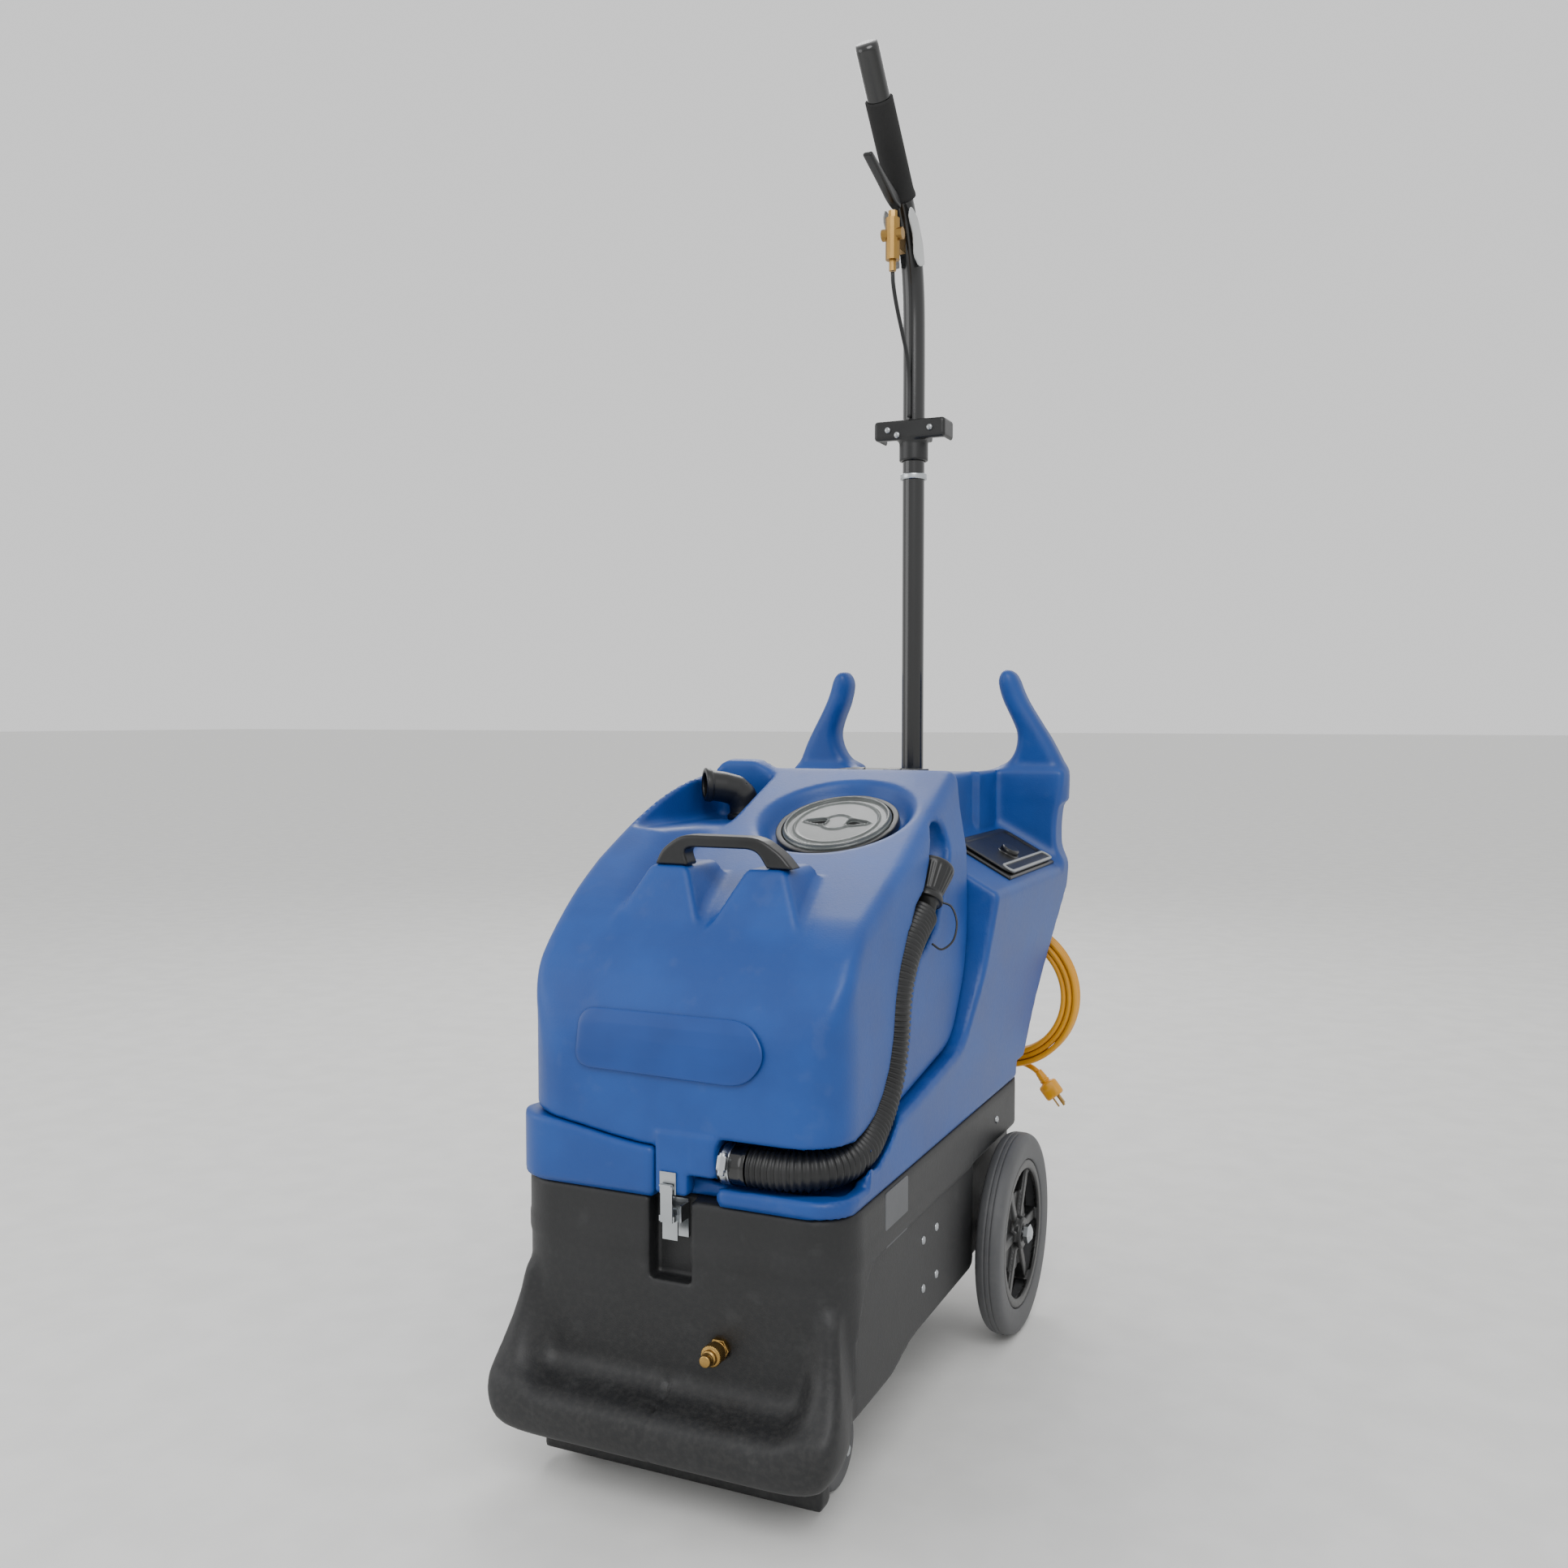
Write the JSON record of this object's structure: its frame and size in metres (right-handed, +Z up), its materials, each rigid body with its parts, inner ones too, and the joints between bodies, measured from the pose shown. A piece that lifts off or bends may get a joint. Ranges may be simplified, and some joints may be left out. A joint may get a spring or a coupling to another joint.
{
  "type": "carpet extractor",
  "caption": "Wheeled box-style carpet cleaning extractor: black tub, stacked blue solution and recovery tanks, drain hose, casters, rear wheels and a standing wand.",
  "frame": {"origin": "on the floor, under the middle of the machine without its cord", "axes": "+Z up, +Y from the front lip towards the rear wheels, +X to the right seen from the front"},
  "size_m": [0.5634, 1.075, 2.0239],
  "materials": {
    "blue_shell": "rotationally moulded, fine pebble, satin",
    "black_shell": "rotationally moulded, fine pebble, matte",
    "moulded": "satin moulded",
    "tyre_rubber": "matte grey",
    "zinc": "bright zinc plate",
    "steel": "satin",
    "brass": "machined",
    "clear_lid": "translucent moulded",
    "yellow_cord": "satin jacket",
    "foam": "foam sleeve"
  },
  "bodies": {
    "base": {"tub": "black_shell", "rear_axle": "steel", "axle_nut_left": "zinc", "axle_nut_right": "zinc", "caster_plate_left": "zinc", "caster_plate_right": "zinc", "vacuum_motor_left": "moulded", "vacuum_motor_right": "moulded", "pump_motor": "steel", "solution_pump": "brass", "quick_coupler": "brass", "solution_tank": "blue_shell", "fill_frame": "moulded", "switch_panel": "moulded", "latch_plate": "zinc", "wand_tube": "moulded", "wand_grip": "foam", "wand_bracket": "moulded", "wand_head": "steel", "wand_valve": "brass", "solution_line": "moulded", "cord_hook": "blue_shell", "cord_coil": "yellow_cord", "cord_gland": "moulded", "cord_tail": "yellow_cord", "cord_lead": "yellow_cord", "cord_plug": "yellow_cord"},
    "rear_wheel_left": {"rear_tyre_left": "tyre_rubber", "rear_rim_left": "moulded"},
    "rear_wheel_right": {"rear_tyre_right": "tyre_rubber", "rear_rim_right": "moulded"},
    "caster_left": {"caster_fork_left": "zinc", "caster_bolt_left": "zinc"},
    "caster_right": {"caster_fork_right": "zinc", "caster_bolt_right": "zinc"},
    "caster_roller_left": {"caster_wheel_left": "tyre_rubber"},
    "caster_roller_right": {"caster_wheel_right": "tyre_rubber"},
    "upper_tank": {"recovery_tank": "blue_shell", "tank_handle": "moulded", "lid_ring": "moulded", "intake_elbow": "moulded", "standpipe": "moulded", "float_cage": "moulded", "hose_cuff": "moulded", "hose_clamp": "zinc", "drain_hose": "moulded", "drain_cap": "moulded", "latch_keeper": "zinc"},
    "screw_lid": {"recovery_lid": "clear_lid"},
    "float": {"float_ball": "clear_lid"},
    "fill_door": {"fill_lid": "moulded"},
    "vacuum_rocker": {"vacuum_switch": "moulded"},
    "pump_rocker": {"pump_switch": "moulded"},
    "latch_arm": {"latch_lever": "zinc"},
    "latch_link": {"latch_hook": "zinc"},
    "trigger": {"wand_trigger": "moulded"}
  },
  "joints": [
    {"name": "rear_wheel_left_spin", "type": "hinge", "parent": "base", "child": "rear_wheel_left", "pos_m": [-0.251, 0.1825, 0.1524], "axis": [1, 0, 0], "continuous": true},
    {"name": "caster_left_swivel", "type": "hinge", "parent": "base", "child": "caster_left", "pos_m": [-0.168, -0.3405, 0.128], "axis": [0, 0, 1], "continuous": true},
    {"name": "caster_left_roll", "type": "hinge", "parent": "caster_left", "child": "caster_roller_left", "pos_m": [-0.168, -0.3655, 0.051], "axis": [1, 0, 0], "continuous": true},
    {"name": "rear_wheel_right_spin", "type": "hinge", "parent": "base", "child": "rear_wheel_right", "pos_m": [0.251, 0.1825, 0.1524], "axis": [1, 0, 0], "continuous": true},
    {"name": "caster_right_swivel", "type": "hinge", "parent": "base", "child": "caster_right", "pos_m": [0.168, -0.3405, 0.128], "axis": [0, 0, 1], "continuous": true},
    {"name": "caster_right_roll", "type": "hinge", "parent": "caster_right", "child": "caster_roller_right", "pos_m": [0.168, -0.3655, 0.051], "axis": [1, 0, 0], "continuous": true},
    {"name": "tank_lift", "type": "slide", "parent": "base", "child": "upper_tank", "axis": [0, 0, 1], "range_m": [0, 0.3]},
    {"name": "lid_turn", "type": "hinge", "parent": "upper_tank", "child": "screw_lid", "pos_m": [0.059, -0.0775, 0.803], "axis": [0, -0.3987, 0.9171], "range_deg": [0, 90]},
    {"name": "float_rise", "type": "slide", "parent": "upper_tank", "child": "float", "axis": [0, 0, 1], "range_m": [0, 0.012]},
    {"name": "fill_lid_hinge", "type": "hinge", "parent": "base", "child": "fill_door", "pos_m": [0.15093, 0.3155, 0.76147], "axis": [0, -1, 0], "range_deg": [0, 100]},
    {"name": "vacuum_rock", "type": "hinge", "parent": "base", "child": "vacuum_rocker", "pos_m": [-0.032, 0.2285, 0.8664], "axis": [1, 0, 0], "range_deg": [0, 8]},
    {"name": "pump_rock", "type": "hinge", "parent": "base", "child": "pump_rocker", "pos_m": [0.032, 0.2285, 0.8664], "axis": [1, 0, 0], "range_deg": [0, 8]},
    {"name": "latch_open", "type": "hinge", "parent": "base", "child": "latch_arm", "pos_m": [0, -0.4595, 0.352], "axis": [-1, 0, 0], "range_deg": [0, 100]},
    {"name": "latch_link_turn", "type": "hinge", "parent": "latch_arm", "child": "latch_link", "pos_m": [0, -0.4735, 0.348], "axis": [1, 0, 0], "range_deg": [0, 150]},
    {"name": "trigger_squeeze", "type": "hinge", "parent": "base", "child": "trigger", "pos_m": [0, 0.3175, 1.808], "axis": [-1, 0, 0], "range_deg": [0, 18], "stiffness_Nm_per_rad": 0.5, "springref_deg": -14.32}
  ],
  "couplings": [
    {"joint": "latch_link_turn", "follows": "latch_open", "ratio": 1.5}
  ]
}
